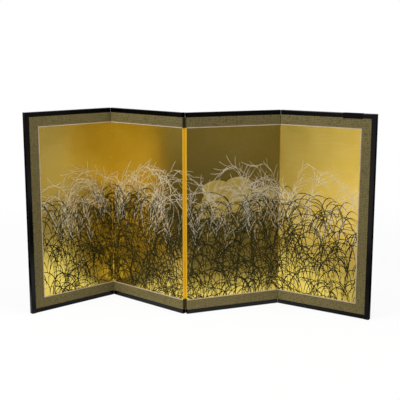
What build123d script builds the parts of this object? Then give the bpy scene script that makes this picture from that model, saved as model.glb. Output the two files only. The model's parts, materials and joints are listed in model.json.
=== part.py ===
from build123d import *
import os
from math import cos, radians, sin

# Four-panel byobu: a free-standing folding screen of papered lattice panels in
# black lacquered frames, joined by paper hinges. Millimetres, +Z up. The origin
# is on the floor, at the middle of the standing screen's bounding box.
#
# Every panel has its own seat plane: X runs along the panel from its left edge,
# Y runs through it from the front of the frame to the back, Z runs up.

# ---- driving dimensions ------------------------------------------------------

# the screen as it stands
screen_height = 914.0
panel_width = 457.0  # from one fold axis to the next
headings = (41.8, -41.2, 21.3, -33.2)  # degrees each panel turns from the X axis

# lacquered frame
frame_depth = 19.0
rail_height = 21.0
stile_width = 22.0
frame_outer_radius = 3.0
frame_inner_radius = 1.0
rail_tenon_length = 9.0
rail_tenon_height = 11.0
rail_tenon_depth = 7.0

# wooden core under the paper
core_member = 24.0  # face width of the core's own stiles and rails
strip_width = 6.0  # face width of a lattice strip
upright_count = 4
crossbar_count = 8
stub_length = 4.0  # stub tenon on each end of a lattice strip
stub_depth = 7.0
joint_clearance = 0.1

# paper, silk and hinge layers
lining_thickness = 0.6  # underlay paper, and the hinge leaves let into it
sheet_thickness = 0.6  # picture sheet and backing sheet
brocade_width = 43.5
brocade_thickness = 0.4
fillet_width = 4.0
fillet_thickness = 0.7
fillet_recess = 0.3  # the fillet lies this far behind the frame's face
mitre_gap = 0.15

# folds
fold_gap = 0.8  # between two papered edges when the screen is opened flat
pivot_standoff = 0.3  # the fold axis lies this far outside the frame's face
hinge_tab = 28.0  # width of a leaf's tab, pasted on the panel's face
end_leaf_height = 212.0  # top and bottom leaves; the other two share the rest
leaf_gap = 1.0
lining_split = 0.15  # between a flat tab and the edge lining beside it
crossing_end = 0.35  # a leaf's two halves stop this far from the fold axis
crossing_tip = 0.1  # thickness of the paper there
crossing_clearance = 0.04  # and its distance from the plane between the panels
sheet_clearance = 0.1  # between the crossing and the picture or backing sheet

# square-cut nails that hold the frame to the core
nail_side = 2.2
nail_bite = 14.0  # how far a nail reaches into the core
nail_taper = 1.2  # degrees
nail_head = 4.4
nail_head_height = 1.2
nail_head_sink = 0.3
nail_clearance = 0.1
nails_per_rail = 3
nails_per_stile = 5

# black band wound round the last panel's top rail
band_length = 91.5
band_start = 303.5  # from the panel's left fold axis
band_thickness = 0.25
band_clearance = 0.05
band_tail = 3.0  # how far the band hangs past the rail, over the border

# ---- sizes that follow -------------------------------------------------------

frame_reveal = fillet_thickness + fillet_recess  # frame face to papered face
core_front = frame_reveal + sheet_thickness + lining_thickness
core_depth = frame_depth - 2 * core_front
middle_depth = frame_depth / 2

edge_inset = fold_gap / 2  # fold axis plane to a papered edge
front_axis = -pivot_standoff
back_axis = frame_depth + pivot_standoff

body_bottom = rail_height
body_top = screen_height - rail_height
body_height = body_top - body_bottom
middle_height = screen_height / 2

lattice_height = body_height - 2 * core_member
crossbar_pitch = lattice_height / (crossbar_count + 1)
crossbar_heights = [
    body_bottom + core_member + crossbar_pitch * (bar + 1)
    for bar in range(crossbar_count)
]
stile_nail_pitch = lattice_height / nails_per_stile
stile_nail_heights = [
    body_bottom + core_member + stile_nail_pitch * (nail + 0.5)
    for nail in range(nails_per_stile)
]

leaf_seams = (
    body_bottom,
    body_bottom + end_leaf_height,
    middle_height,
    body_top - end_leaf_height,
    body_top,
)

stub_pocket = stub_length + joint_clearance
lap_slot = strip_width + 2 * joint_clearance
nail_hole = nail_side + 2 * nail_clearance
nail_seat = nail_head + 2 * nail_clearance
nail_seat_depth = nail_head_sink + nail_head_height


# ---- one panel's frame of reference ------------------------------------------

# what each panel's left and right edge meets: a stile, or a fold whose axis lies
# at the front or the back of the frame
edges_met = (("stile", "front"), ("front", "back"), ("back", "front"), ("front", "stile"))


class Panel:
    """One panel: its seat plane, and the planes and limits that its pieces share."""

    def __init__(self, number, seat, left, right):
        self.number = number
        self.seat = seat
        self.left = left
        self.right = right
        outer_stile = edge_inset + stile_width
        self.body_left = outer_stile if left == "stile" else edge_inset
        self.body_right = panel_width - (outer_stile if right == "stile" else edge_inset)
        self.core_left = self.body_left + (0 if left == "stile" else lining_thickness)
        self.core_right = self.body_right - (0 if right == "stile" else lining_thickness)
        self.lattice_left = self.core_left + core_member
        self.lattice_right = self.core_right - core_member
        self.lattice_width = self.lattice_right - self.lattice_left
        upright_pitch = self.lattice_width / (upright_count + 1)
        self.uprights = [
            self.lattice_left + upright_pitch * (upright + 1)
            for upright in range(upright_count)
        ]
        rail_nail_pitch = self.lattice_width / nails_per_rail
        self.rail_nails = [
            self.lattice_left + rail_nail_pitch * (nail + 0.5)
            for nail in range(nails_per_rail)
        ]

    def point(self, along, depth, height):
        return self.seat.from_local_coords((along, depth, height))

    def face(self, depth):
        """Upright plane parallel to the panel, seen from the front."""
        return Plane(self.point(0, depth, 0), self.seat.x_dir, -self.seat.y_dir)

    def level(self, height):
        """Level plane: X along the panel, Y through it."""
        return self.seat.offset(height)

    def section(self, along):
        """Upright plane across the panel: X through it, Y up."""
        return Plane(self.point(along, 0, 0), self.seat.y_dir, self.seat.x_dir)

    def folds(self):
        """Fold edges as (side, axis face, papered edge, core edge, way inward)."""
        edges = (
            ("left", self.left, self.body_left, self.core_left, 1),
            ("right", self.right, self.body_right, self.core_right, -1),
        )
        return [edge for edge in edges if edge[1] != "stile"]

    def stiles(self):
        """Outer stiles as (outer face, inner face, way inward)."""
        edges = (
            (self.left, edge_inset, self.body_left, 1),
            (self.right, panel_width - edge_inset, self.body_right, -1),
        )
        return [edge[1:] for edge in edges if edge[0] == "stile"]


def seat_on_axis(heading, axis_point, along, depth):
    """Seat plane at a heading, with its point (along, depth) on a fold axis."""
    x_dir = Vector(cos(radians(heading)), sin(radians(heading)), 0)
    turned = Plane((0, 0, 0), x_dir, (0, 0, 1))
    return Plane(axis_point - turned.from_local_coords((along, depth, 0)), x_dir, (0, 0, 1))


def standing_seats():
    """Chain the four panels from the middle fold outwards."""
    middle_fold = Vector(0, 0, 0)
    second = seat_on_axis(headings[1], middle_fold, panel_width, back_axis)
    third = seat_on_axis(headings[2], middle_fold, 0, back_axis)
    left_fold = second.from_local_coords((0, front_axis, 0))
    right_fold = third.from_local_coords((panel_width, front_axis, 0))
    first = seat_on_axis(headings[0], left_fold, panel_width, front_axis)
    fourth = seat_on_axis(headings[3], right_fold, 0, front_axis)
    return [first, second, third, fourth]


def plan_outline(edge, edge_along, inward):
    """Outermost arcs and corners at one edge of a panel: (along, depth, radius)."""
    radius = frame_outer_radius if edge == "stile" else 0
    return [
        (edge_along + inward * radius, depth, radius)
        for depth in (radius, frame_depth - radius)
    ]


def reach(seats, direction):
    """How far the standing screen reaches along a level direction."""
    reaches = []
    for seat, (left, right) in zip(seats, edges_met):
        outline = plan_outline(left, edge_inset, 1)
        outline += plan_outline(right, panel_width - edge_inset, -1)
        for along, depth, radius in outline:
            reaches.append(seat.from_local_coords((along, depth, 0)).dot(direction) + radius)
    return max(reaches)


def centred_seats():
    """Move the standing seats so that the origin is under the screen's middle."""
    seats = standing_seats()
    x_dir, y_dir = Vector(1, 0, 0), Vector(0, 1, 0)
    middle_x = (reach(seats, x_dir) - reach(seats, -x_dir)) / 2
    middle_y = (reach(seats, y_dir) - reach(seats, -y_dir)) / 2
    shift = Vector(middle_x, middle_y, 0)
    return [Plane(seat.origin - shift, seat.x_dir, seat.z_dir) for seat in seats]


panels = [
    Panel(number, seat, left, right)
    for number, seat, (left, right) in zip(range(1, 5), centred_seats(), edges_met)
]


def save(piece, name):
    piece.part.label = name
    export_step(piece.part, f"parts/{name}.step")


# ---- wooden core -------------------------------------------------------------


def make_core_stiles(panel):
    """Two uprights: half-lapped corners, mortises for the crossbars, nail holes."""
    left_middle = panel.core_left + core_member / 2
    right_middle = panel.core_right - core_member / 2
    corner_heights = (body_bottom + core_member / 2, body_top - core_member / 2)
    with BuildPart() as core_stiles:
        with BuildSketch(panel.face(core_front)):
            with Locations((left_middle, middle_height), (right_middle, middle_height)):
                Rectangle(core_member, body_height)
        extrude(amount=-core_depth)
        with BuildSketch(panel.face(middle_depth)):
            for height in corner_heights:
                with Locations((left_middle, height), (right_middle, height)):
                    Rectangle(core_member, core_member)
        extrude(amount=-core_depth, mode=Mode.SUBTRACT)
        with BuildSketch(panel.face(middle_depth)):
            for height in crossbar_heights:
                with Locations((panel.lattice_left, height), (panel.lattice_right, height)):
                    Rectangle(2 * stub_pocket, strip_width + 2 * joint_clearance)
        extrude(amount=stub_depth / 2 + joint_clearance, both=True, mode=Mode.SUBTRACT)
        for _, inner_face, inward in panel.stiles():
            with BuildSketch(panel.section(inner_face)):
                with Locations(*[(middle_depth, height) for height in stile_nail_heights]):
                    Rectangle(nail_hole, nail_hole)
            extrude(amount=inward * (nail_bite + nail_clearance), mode=Mode.SUBTRACT)
    return core_stiles


def make_core_rails(panel):
    """Two crossways members that lap behind the uprights and take the lattice."""
    core_width = panel.core_right - panel.core_left
    middle_along = (panel.core_left + panel.core_right) / 2
    corners = (panel.core_left + core_member / 2, panel.core_right - core_member / 2)
    rail_middles = (body_bottom + core_member / 2, body_top - core_member / 2)
    with BuildPart() as core_rails:
        with BuildSketch(panel.face(core_front)):
            for height in rail_middles:
                with Locations((middle_along, height)):
                    Rectangle(core_width, core_member)
        extrude(amount=-core_depth)
        with BuildSketch(panel.face(middle_depth)):
            for height in rail_middles:
                with Locations(*[(along, height) for along in corners]):
                    Rectangle(core_member, core_member)
        extrude(amount=core_depth, mode=Mode.SUBTRACT)
        with BuildSketch(panel.face(middle_depth)):
            for height in (body_bottom + core_member, body_top - core_member):
                with Locations(*[(along, height) for along in panel.uprights]):
                    Rectangle(strip_width + 2 * joint_clearance, 2 * stub_pocket)
        extrude(amount=stub_depth / 2 + joint_clearance, both=True, mode=Mode.SUBTRACT)
        for height, way in ((body_bottom, 1), (body_top, -1)):
            with BuildSketch(panel.level(height)):
                with Locations(*[(along, middle_depth) for along in panel.rail_nails]):
                    Rectangle(nail_hole, nail_hole)
            extrude(amount=way * (nail_bite + nail_clearance), mode=Mode.SUBTRACT)
    return core_rails


def make_lattice_uprights(panel):
    """Upright strips, slotted in their front half where the crossbars pass."""
    with BuildPart() as lattice_uprights:
        with BuildSketch(panel.face(core_front)):
            with Locations(*[(along, middle_height) for along in panel.uprights]):
                Rectangle(strip_width, lattice_height)
        extrude(amount=-core_depth)
        with BuildSketch(panel.face(middle_depth)):
            with Locations(*[(along, middle_height) for along in panel.uprights]):
                Rectangle(strip_width, lattice_height + 2 * stub_length)
        extrude(amount=stub_depth / 2, both=True)
        with BuildSketch(panel.face(middle_depth)):
            for height in crossbar_heights:
                with Locations(*[(along, height) for along in panel.uprights]):
                    Rectangle(2 * strip_width, lap_slot)
        extrude(amount=core_depth, mode=Mode.SUBTRACT)
    return lattice_uprights


def make_lattice_crossbars(panel):
    """Level strips, slotted in their rear half to lock over the uprights."""
    middle_along = (panel.lattice_left + panel.lattice_right) / 2
    with BuildPart() as lattice_crossbars:
        with BuildSketch(panel.face(core_front)):
            with Locations(*[(middle_along, height) for height in crossbar_heights]):
                Rectangle(panel.lattice_width, strip_width)
        extrude(amount=-core_depth)
        with BuildSketch(panel.face(middle_depth)):
            with Locations(*[(middle_along, height) for height in crossbar_heights]):
                Rectangle(panel.lattice_width + 2 * stub_length, strip_width)
        extrude(amount=stub_depth / 2, both=True)
        with BuildSketch(panel.face(middle_depth)):
            for height in crossbar_heights:
                with Locations(*[(along, height) for along in panel.uprights]):
                    Rectangle(lap_slot, 2 * strip_width)
        extrude(amount=-core_depth, mode=Mode.SUBTRACT)
    return lattice_crossbars


# ---- paper hinges ------------------------------------------------------------


def tab_face(side, leaf):
    """Face that a leaf's tab is pasted on: alternate leaves cross the other way."""
    starts_in_front = (leaf % 2 == 0) == (side == "right")
    return "front" if starts_in_front else "back"


def tab_depth(face):
    """Depth at which a face's lining layer begins."""
    if face == "front":
        return core_front - lining_thickness
    return core_front + core_depth


def make_hinge_leaves(panel, side, axis_face, papered_edge, core_edge, inward):
    """Four paper leaves of one fold, as far as they belong to this panel.

    A leaf is pasted on the front of one panel and on the back of its neighbour,
    and crosses the gap at the fold axis. Between tab and axis it lies along the
    edge of the panel whose tab is on the far face. The other panel's edge has a
    plain lining there.
    """

    def from_axis_face(depth):
        return depth if axis_face == "front" else frame_depth - depth

    axis_along = papered_edge - inward * edge_inset
    tip_depth = from_axis_face(crossing_end - pivot_standoff)
    tip_near = axis_along + inward * crossing_clearance
    tip_far = tip_near + inward * crossing_tip
    with BuildPart() as hinge_leaves:
        for leaf in range(len(leaf_seams) - 1):
            low = leaf_seams[leaf] + leaf_gap / 2
            high = leaf_seams[leaf + 1] - leaf_gap / 2
            middle = (low + high) / 2
            face = tab_face(side, leaf)
            wraps_edge = face != axis_face
            lining_start = core_front + (0 if wraps_edge else lining_split)
            lining_end = core_front + core_depth
            root = lining_start if wraps_edge else core_front - lining_thickness + sheet_clearance
            with BuildSketch(panel.level(low)):
                with BuildLine():
                    Polyline(
                        (papered_edge, from_axis_face(root)),
                        (papered_edge, from_axis_face(core_front + (lining_thickness if wraps_edge else 0))),
                        (tip_near, tip_depth),
                        (tip_far, tip_depth),
                        close=True,
                    )
                make_face()
            extrude(amount=high - low)
            with BuildSketch(panel.face((from_axis_face(lining_start) + from_axis_face(lining_end)) / 2)):
                with Locations(((papered_edge + core_edge) / 2, middle)):
                    Rectangle(lining_thickness, high - low)
            extrude(amount=(lining_end - lining_start) / 2, both=True)
            tab_end = papered_edge + inward * hinge_tab
            with BuildSketch(panel.face(tab_depth(face))):
                with Locations(((papered_edge + tab_end) / 2, middle)):
                    Rectangle(hinge_tab, high - low)
            extrude(amount=-lining_thickness)
    return hinge_leaves


# ---- paper and silk ----------------------------------------------------------


def make_underlays(panel):
    """Underlay paper on both faces, cut out where the hinge tabs are let in."""
    body_width = panel.body_right - panel.body_left
    middle_along = (panel.body_left + panel.body_right) / 2
    with BuildPart() as underlays:
        for face in ("front", "back"):
            with BuildSketch(panel.face(tab_depth(face))):
                with Locations((middle_along, middle_height)):
                    Rectangle(body_width, body_height)
                for side, _, papered_edge, _, inward in panel.folds():
                    for leaf in range(len(leaf_seams) - 1):
                        if tab_face(side, leaf) == face:
                            low, high = leaf_seams[leaf], leaf_seams[leaf + 1]
                            with Locations((papered_edge, (low + high) / 2)):
                                Rectangle(2 * (hinge_tab + leaf_gap / 2), high - low, mode=Mode.SUBTRACT)
            extrude(amount=-lining_thickness)
    return underlays


def make_sheet(panel, depth):
    """Full-size paper sheet over the underlay and the hinge tabs."""
    body_width = panel.body_right - panel.body_left
    with BuildPart() as sheet:
        with BuildSketch(panel.face(depth)):
            with Locations(((panel.body_left + panel.body_right) / 2, middle_height)):
                Rectangle(body_width, body_height)
        extrude(amount=-sheet_thickness)
    return sheet


def make_border(panel, inset, width, thickness):
    """Strips of one width round the picture: above, below and beside each stile."""
    outer_left = panel.body_left + (inset if panel.left == "stile" else 0)
    outer_right = panel.body_right - (inset if panel.right == "stile" else 0)
    low, high = body_bottom + inset, body_top - inset
    inner_left = outer_left + width if panel.left == "stile" else outer_left - width
    inner_right = outer_right - width if panel.right == "stile" else outer_right + width
    mitres = []
    if panel.left == "stile":
        mitres += [(outer_left, low, 45), (outer_left, high, -45)]
    if panel.right == "stile":
        mitres += [(outer_right, low, -45), (outer_right, high, 45)]
    with BuildPart() as border:
        with BuildSketch(panel.face(frame_reveal)):
            with Locations(((outer_left + outer_right) / 2, middle_height)):
                Rectangle(outer_right - outer_left, high - low)
            with Locations(((inner_left + inner_right) / 2, middle_height)):
                Rectangle(inner_right - inner_left, high - low - 2 * width, mode=Mode.SUBTRACT)
            for along, height, angle in mitres:
                with Locations((along, height)):
                    Rectangle(4 * width, mitre_gap, rotation=angle, mode=Mode.SUBTRACT)
        extrude(amount=thickness)
    return border


# ---- lacquered frame ---------------------------------------------------------


def corner_waste(plane, corners, radius):
    """What rounding takes off: each corner is (x, y, way in along x, way in along y)."""
    with BuildSketch(plane) as waste:
        for x, y, x_way, y_way in corners:
            with Locations((x, y)):
                Rectangle(2 * radius, 2 * radius)
            with Locations((x + x_way * radius, y + y_way * radius)):
                Circle(radius, mode=Mode.SUBTRACT)
    return waste.sketch


def make_rail(panel, outer_height, way):
    """Top or bottom rail: way points from its outer face towards the panel."""
    length = panel.body_right - panel.body_left
    middle = outer_height + way * rail_height / 2
    with BuildPart() as rail:
        with BuildSketch(panel.section(panel.body_left)) as profile:
            with Locations((middle_depth, middle)):
                Rectangle(frame_depth, rail_height)
            outer_first = profile.vertices().sort_by(Axis.Y, reverse=way < 0)
            fillet(outer_first[:2], frame_outer_radius)
            inner_first = profile.vertices().sort_by(Axis.Y, reverse=way > 0)
            fillet(inner_first[:2], frame_inner_radius)
        extrude(amount=length)
        for _, inner_face, inward in panel.stiles():
            with BuildSketch(panel.section(inner_face)):
                with Locations((middle_depth, middle)):
                    Rectangle(rail_tenon_depth, rail_tenon_height)
            extrude(amount=-inward * rail_tenon_length)
        with BuildSketch(panel.level(outer_height)):
            with Locations(*[(along, middle_depth) for along in panel.rail_nails]):
                Rectangle(nail_hole, nail_hole)
        extrude(amount=way * rail_height, mode=Mode.SUBTRACT)
        with BuildSketch(panel.level(outer_height)):
            with Locations(*[(along, middle_depth) for along in panel.rail_nails]):
                Rectangle(nail_seat, nail_seat)
        extrude(amount=way * nail_seat_depth, mode=Mode.SUBTRACT)
    return rail


def make_outer_stile(panel, outer_face, way):
    """Full-height upright at the screen's end: way points towards the panel."""
    inner_face = outer_face + way * stile_width
    end_corners = [(outer_face, 0, way, 1), (outer_face, screen_height, way, -1)]
    end_waste = corner_waste(panel.face(0), end_corners, frame_outer_radius)
    with BuildPart() as outer_stile:
        with BuildSketch(panel.level(0)) as profile:
            with Locations(((outer_face + inner_face) / 2, middle_depth)):
                Rectangle(stile_width, frame_depth)
            outer_first = profile.vertices().sort_by(Axis.X, reverse=way < 0)
            fillet(outer_first[:2], frame_outer_radius)
            inner_first = profile.vertices().sort_by(Axis.X, reverse=way > 0)
            fillet(inner_first[:2], frame_inner_radius)
        extrude(amount=screen_height)
        extrude(end_waste, amount=-frame_depth, mode=Mode.SUBTRACT)
        with BuildSketch(panel.section(inner_face)):
            for height in (rail_height / 2, screen_height - rail_height / 2):
                with Locations((middle_depth, height)):
                    Rectangle(rail_tenon_depth + 2 * joint_clearance, rail_tenon_height + 2 * joint_clearance)
        extrude(amount=-way * (rail_tenon_length + joint_clearance), mode=Mode.SUBTRACT)
        with BuildSketch(panel.section(outer_face)):
            with Locations(*[(middle_depth, height) for height in stile_nail_heights]):
                Rectangle(nail_hole, nail_hole)
        extrude(amount=way * stile_width, mode=Mode.SUBTRACT)
        with BuildSketch(panel.section(outer_face)):
            with Locations(*[(middle_depth, height) for height in stile_nail_heights]):
                Rectangle(nail_seat, nail_seat)
        extrude(amount=way * nail_seat_depth, mode=Mode.SUBTRACT)
    return outer_stile


def make_frame_nails(panel):
    """Square-cut nails, heads sunk in the frame, tapering through it into the core."""
    rail_spots = [(along, middle_depth) for along in panel.rail_nails]
    stile_spots = [(middle_depth, height) for height in stile_nail_heights]
    rows = [
        (panel.level(0), rail_spots, 1, rail_height),
        (panel.level(screen_height), rail_spots, -1, rail_height),
    ]
    for outer_face, _, inward in panel.stiles():
        rows.append((panel.section(outer_face), stile_spots, inward, stile_width))
    with BuildPart() as frame_nails:
        for surface, spots, way, frame_thickness in rows:
            with BuildSketch(surface.offset(way * nail_head_sink)):
                with Locations(*spots):
                    Rectangle(nail_head, nail_head)
            extrude(amount=way * nail_head_height)
            with BuildSketch(surface.offset(way * nail_seat_depth)):
                with Locations(*spots):
                    Rectangle(nail_side, nail_side)
            shank = frame_thickness - nail_seat_depth + nail_bite
            extrude(amount=way * shank, taper=nail_taper)
    return frame_nails


def make_rail_band(panel):
    """Thin black band wound over a top rail, its tails hanging past the rail."""
    outer_wrap = band_clearance + band_thickness
    tail_height = screen_height - rail_height - band_tail
    inner_height = screen_height + band_clearance - tail_height
    with BuildPart() as rail_band:
        with BuildSketch(panel.section(band_start)) as wrapped:
            with Locations((middle_depth, tail_height)):
                Rectangle(
                    frame_depth + 2 * outer_wrap,
                    inner_height + band_thickness,
                    align=(Align.CENTER, Align.MIN),
                )
            upper = wrapped.vertices().sort_by(Axis.Y)[-2:]
            fillet(upper, frame_outer_radius + outer_wrap)
        extrude(amount=band_length)
        with BuildSketch(panel.section(band_start)) as hollow:
            with Locations((middle_depth, tail_height)):
                Rectangle(
                    frame_depth + 2 * band_clearance,
                    inner_height,
                    align=(Align.CENTER, Align.MIN),
                )
            upper = hollow.vertices().sort_by(Axis.Y)[-2:]
            fillet(upper, frame_outer_radius + band_clearance)
        extrude(amount=band_length, mode=Mode.SUBTRACT)
    return rail_band


# ---- make and write every piece ----------------------------------------------

os.makedirs("parts", exist_ok=True)

for panel in panels:
    save(make_core_stiles(panel), f"core_stiles_{panel.number}")
    save(make_core_rails(panel), f"core_rails_{panel.number}")
    save(make_lattice_uprights(panel), f"lattice_uprights_{panel.number}")
    save(make_lattice_crossbars(panel), f"lattice_crossbars_{panel.number}")
    save(make_underlays(panel), f"underlays_{panel.number}")
    save(make_sheet(panel, frame_reveal), f"picture_sheet_{panel.number}")
    back_sheet_depth = frame_depth - frame_reveal - sheet_thickness
    save(make_sheet(panel, back_sheet_depth), f"backing_sheet_{panel.number}")
    brocade = make_border(panel, 0, brocade_width, brocade_thickness)
    save(brocade, f"brocade_border_{panel.number}")
    save(make_border(panel, brocade_width, fillet_width, fillet_thickness), f"silk_fillet_{panel.number}")
    save(make_rail(panel, screen_height, -1), f"top_rail_{panel.number}")
    save(make_rail(panel, 0, 1), f"bottom_rail_{panel.number}")
    save(make_frame_nails(panel), f"frame_nails_{panel.number}")
    for fold in panel.folds():
        side, first = fold[0], panel.number - (1 if fold[0] == "left" else 0)
        leaves = make_hinge_leaves(panel, *fold)
        save(leaves, f"hinge_leaves_{first}_{first + 1}_on_{panel.number}")

save(make_outer_stile(panels[0], edge_inset, 1), "outer_stile_left")
save(make_outer_stile(panels[-1], panel_width - edge_inset, -1), "outer_stile_right")
save(make_rail_band(panels[-1]), "rail_band")
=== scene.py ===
# %% [markdown]
# # Dressing a four-panel folding screen
#
# The joiner's work comes in ready made: lattice cores, lacquered frames, paper
# sheets, silk borders and the paper leaves that hinge the panels. This lesson
# adds what the mounter and the painter do: lacquer, brocade, gold ground, a
# painted garden and the creased paper in the folds. Lengths are in metres.

# %% Load the joined screen
import json
import math

import bmesh
import bpy
from mathutils import Matrix, Vector


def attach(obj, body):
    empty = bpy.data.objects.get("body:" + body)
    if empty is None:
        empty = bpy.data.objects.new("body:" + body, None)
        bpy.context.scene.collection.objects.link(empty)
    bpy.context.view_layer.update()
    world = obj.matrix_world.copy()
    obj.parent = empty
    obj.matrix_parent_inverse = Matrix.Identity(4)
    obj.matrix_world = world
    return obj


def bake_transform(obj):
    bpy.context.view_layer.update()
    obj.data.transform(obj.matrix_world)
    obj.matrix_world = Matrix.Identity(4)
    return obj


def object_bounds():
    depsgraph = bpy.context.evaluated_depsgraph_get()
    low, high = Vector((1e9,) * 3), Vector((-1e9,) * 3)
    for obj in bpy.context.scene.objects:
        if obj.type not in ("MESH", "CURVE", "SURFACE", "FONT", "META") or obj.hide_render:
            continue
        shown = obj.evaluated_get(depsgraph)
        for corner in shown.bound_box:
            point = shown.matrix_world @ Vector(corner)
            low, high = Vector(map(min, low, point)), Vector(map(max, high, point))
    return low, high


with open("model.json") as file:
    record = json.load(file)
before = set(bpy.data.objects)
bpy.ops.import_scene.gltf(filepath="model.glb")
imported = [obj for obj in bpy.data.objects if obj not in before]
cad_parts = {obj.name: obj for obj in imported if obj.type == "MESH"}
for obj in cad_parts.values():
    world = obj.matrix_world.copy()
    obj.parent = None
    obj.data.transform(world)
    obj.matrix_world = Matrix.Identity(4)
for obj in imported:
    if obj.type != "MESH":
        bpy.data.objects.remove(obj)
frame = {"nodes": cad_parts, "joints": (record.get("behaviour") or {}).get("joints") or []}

joined_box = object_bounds()
MM = 0.001
panels = range(1, 5)
nodes = frame["nodes"]
joints = {joint["name"]: joint for joint in frame["joints"]}
print("joined screen:", len(nodes), "nodes,", len(joints), "folds")

# %% [markdown]
# ## A ruler for each panel
#
# The panels stand at different angles, but cloth and paper are cut square to
# their own panel. So each panel gets its own axes: along it, into it from the
# front, and up. The largest face of its picture sheet is square to the direction
# through the panel, and the other two follow from that one.

# %% Axes of a panel, and sizes measured along them
def panel_axes(number):
    """Turns panel coordinates (along, depth, height) into the screen's own."""
    sheet = nodes[f"picture_sheet_{number}"].data
    widest = max(sheet.polygons, key=lambda face: face.area)
    back = widest.normal.copy()
    if back.y < 0:
        back.negate()
    along = Vector((back.y, -back.x, 0)).normalized()
    return Matrix((along, back, (0, 0, 1))).transposed().to_4x4()


axes = {number: panel_axes(number) for number in panels}


def measured(name, number):
    """Lowest and highest corner of a node, in its panel's own coordinates."""
    to_panel = axes[number].inverted()
    points = [to_panel @ vertex.co for vertex in nodes[name].data.vertices]
    low = Vector(min(p[i] for p in points) for i in range(3))
    high = Vector(max(p[i] for p in points) for i in range(3))
    return low, high


def heading(number):
    """Angle in plan between the panel and the width of the whole screen."""
    along = axes[number].col[0]
    return math.atan2(along.y, along.x)


for number in panels:
    print(f"panel {number} stands at {math.degrees(heading(number)):.1f} degrees")

# %% [markdown]
# ## Where the picture shows
#
# The gold sheet runs under the silk border. What shows is the opening inside
# the narrow fillet, so the painted garden is cut to that opening. On an inner
# panel the fillet is two plain strips, and their edge lines give its width.
# Only the end panels have an upright fillet, at their outer side.

# %% Measure the four openings
def fillet_strip_width(number):
    to_panel = axes[number].inverted()
    fillet = nodes[f"silk_fillet_{number}"].data
    levels = sorted({round((to_panel @ vertex.co).z, 5) for vertex in fillet.vertices})
    return levels[1] - levels[0]


fillet_width = fillet_strip_width(2)


def picture_opening(number):
    sheet_low, sheet_high = measured(f"picture_sheet_{number}", number)
    low, high = measured(f"silk_fillet_{number}", number)
    return {
        "left": low.x + fillet_width if number == panels[0] else sheet_low.x,
        "right": high.x - fillet_width if number == panels[-1] else sheet_high.x,
        "low": low.z + fillet_width,
        "high": high.z - fillet_width,
        "face": sheet_low.y,
    }


openings = {number: picture_opening(number) for number in panels}
painting_start = {}
painting_width = 0.0
for number, opening in openings.items():
    width = opening["right"] - opening["left"]
    height = opening["high"] - opening["low"]
    painting_start[number] = painting_width
    painting_width += width
    print(f"picture {number}: {width / MM:.1f} x {height / MM:.1f} mm")
print(f"painting: {painting_width:.3f} m wide when flat")

# %% [markdown]
# ## The camera
#
# A long lens from a standing person's chest height, looking a little down, keeps
# the uprights nearly parallel and shows a strip of floor in front of the feet.

# %% Set up the camera
middle_fold = Vector(joints["fold_2_3"]["pos_m"])
camera_from_fold = Vector((0.0653, -3.5538, 1.1882))
camera_tilt = math.radians(10.576)
lens_length = 73.12  # millimetres, on a sensor 36 wide
sensor_width = 36
camera_data = bpy.data.cameras.new("camera")
camera_data.lens = lens_length
camera_data.sensor_width = sensor_width
camera = bpy.data.objects.new("camera", camera_data)
camera.location = middle_fold + camera_from_fold
camera.rotation_euler = (math.radians(90) - camera_tilt, 0, 0)
bpy.context.scene.collection.objects.link(camera)
bpy.context.scene.camera = camera
bpy.context.scene.view_settings.view_transform = "Standard"
print("camera:", lens_length, "mm lens,", camera_from_fold.z, "m above the floor")

# %% [markdown]
# ## A short way to write node trees
#
# Materials and Geometry Nodes are both trees of nodes. One helper fills an input:
# if it is given another node's output it links the two, and it types in any
# other value. The rest add nodes, set their options and hand back their outputs.

# %% Helpers that add and link nodes
def feed(tree, socket, value):
    """Links a socket to an output, or types a plain value into it."""
    if isinstance(value, bpy.types.NodeSocket):
        tree.links.new(value, socket)
    else:
        socket.default_value = value


def add(tree, kind, given=None, **options):
    made = tree.nodes.new(kind)
    for name, value in options.items():
        setattr(made, name, value)
    for name, value in (given or {}).items():
        feed(tree, made.inputs[name], value)
    return made


def calculate(tree, operation, *values):
    """Math node on one, two or three values, each a number or an output."""
    made = tree.nodes.new("ShaderNodeMath")
    made.operation = operation
    for socket, value in zip(made.inputs, values):
        feed(tree, socket, value)
    return made.outputs[0]


# %% Helpers for colours and patterns
def blend_colours(tree, amount, first, second):
    """The first colour where the amount is 0, the second where it is 1."""
    mix = add(tree, "ShaderNodeMix", data_type="RGBA")
    for number, value in ((0, amount), (6, first), (7, second)):  # as the node numbers them
        feed(tree, mix.inputs[number], value)
    return mix.outputs[2]


def stretch(tree, value, low, high, new_low=0.0, new_high=1.0):
    """Map Range node: low..high becomes new_low..new_high, and nothing beyond."""
    given = {"Value": value, "From Min": low, "From Max": high, "To Min": new_low, "To Max": new_high}
    return add(tree, "ShaderNodeMapRange", given).outputs[0]


def own_place(tree):
    """Coordinates of the object that wears the material, in metres."""
    return add(tree, "ShaderNodeTexCoord").outputs["Object"]


def split(tree, vector):
    return add(tree, "ShaderNodeSeparateXYZ", {"Vector": vector}).outputs


def resize(tree, place, factors):
    """Coordinates with a factor for each axis: a small one draws a pattern out."""
    return add(tree, "ShaderNodeVectorMath", {0: place, 1: factors}, operation="MULTIPLY").outputs[0]


def length_of(tree, vector):
    return add(tree, "ShaderNodeVectorMath", {0: vector}, operation="LENGTH").outputs["Value"]


def noise(tree, place, scale, detail):
    """Soft random pattern around 0.5, the finer the larger its scale."""
    given = {"Vector": place, "Scale": scale, "Detail": detail}
    return add(tree, "ShaderNodeTexNoise", given).outputs["Fac"]


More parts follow.
